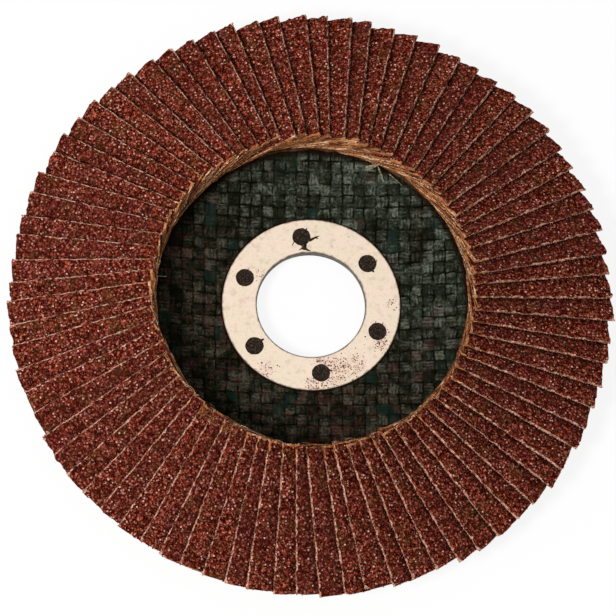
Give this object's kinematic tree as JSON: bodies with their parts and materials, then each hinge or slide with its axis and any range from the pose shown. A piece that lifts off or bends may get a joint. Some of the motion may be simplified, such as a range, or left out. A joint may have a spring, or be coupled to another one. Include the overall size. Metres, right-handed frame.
{
  "type": "flap disc",
  "caption": "Conical abrasive flap disc: overlapping cloth flaps bonded to a pressed glass-fibre plate with a metal ring round its bore.",
  "frame": {"origin": "on the bore axis, in the flat back face of the hub", "axes": "+Z along the bore axis towards the abrasive face; +X and +Y are the picture's right and up"},
  "size_m": [0.124, 0.124, 0.0144],
  "materials": {
    "laminate": "matte",
    "ring_metal": "satin",
    "adhesive": "gloss",
    "abrasive_cloth": "matte"
  },
  "bodies": {
    "root": {"backing_plate": "laminate", "centre_ring": "ring_metal", "adhesive_ring": "adhesive", "flap_pair_01": "abrasive_cloth", "flap_pair_02": "abrasive_cloth", "flap_pair_03": "abrasive_cloth", "flap_pair_04": "abrasive_cloth", "flap_pair_05": "abrasive_cloth", "flap_pair_06": "abrasive_cloth", "flap_pair_07": "abrasive_cloth", "flap_pair_08": "abrasive_cloth", "flap_pair_09": "abrasive_cloth", "flap_pair_10": "abrasive_cloth", "flap_pair_11": "abrasive_cloth", "flap_pair_12": "abrasive_cloth", "flap_pair_13": "abrasive_cloth", "flap_pair_14": "abrasive_cloth", "flap_pair_15": "abrasive_cloth", "flap_pair_16": "abrasive_cloth", "flap_pair_17": "abrasive_cloth", "flap_pair_18": "abrasive_cloth", "flap_pair_19": "abrasive_cloth", "flap_pair_20": "abrasive_cloth", "flap_pair_21": "abrasive_cloth", "flap_pair_22": "abrasive_cloth", "flap_pair_23": "abrasive_cloth", "flap_pair_24": "abrasive_cloth", "flap_pair_25": "abrasive_cloth", "flap_pair_26": "abrasive_cloth", "flap_pair_27": "abrasive_cloth", "flap_pair_28": "abrasive_cloth", "flap_pair_29": "abrasive_cloth", "flap_pair_30": "abrasive_cloth", "flap_pair_31": "abrasive_cloth", "flap_pair_32": "abrasive_cloth", "flap_pair_33": "abrasive_cloth", "flap_pair_34": "abrasive_cloth", "flap_pair_35": "abrasive_cloth", "flap_pair_36": "abrasive_cloth", "flap_pair_37": "abrasive_cloth", "flap_pair_38": "abrasive_cloth", "flap_pair_39": "abrasive_cloth", "flap_pair_40": "abrasive_cloth"}
  },
  "joints": []
}
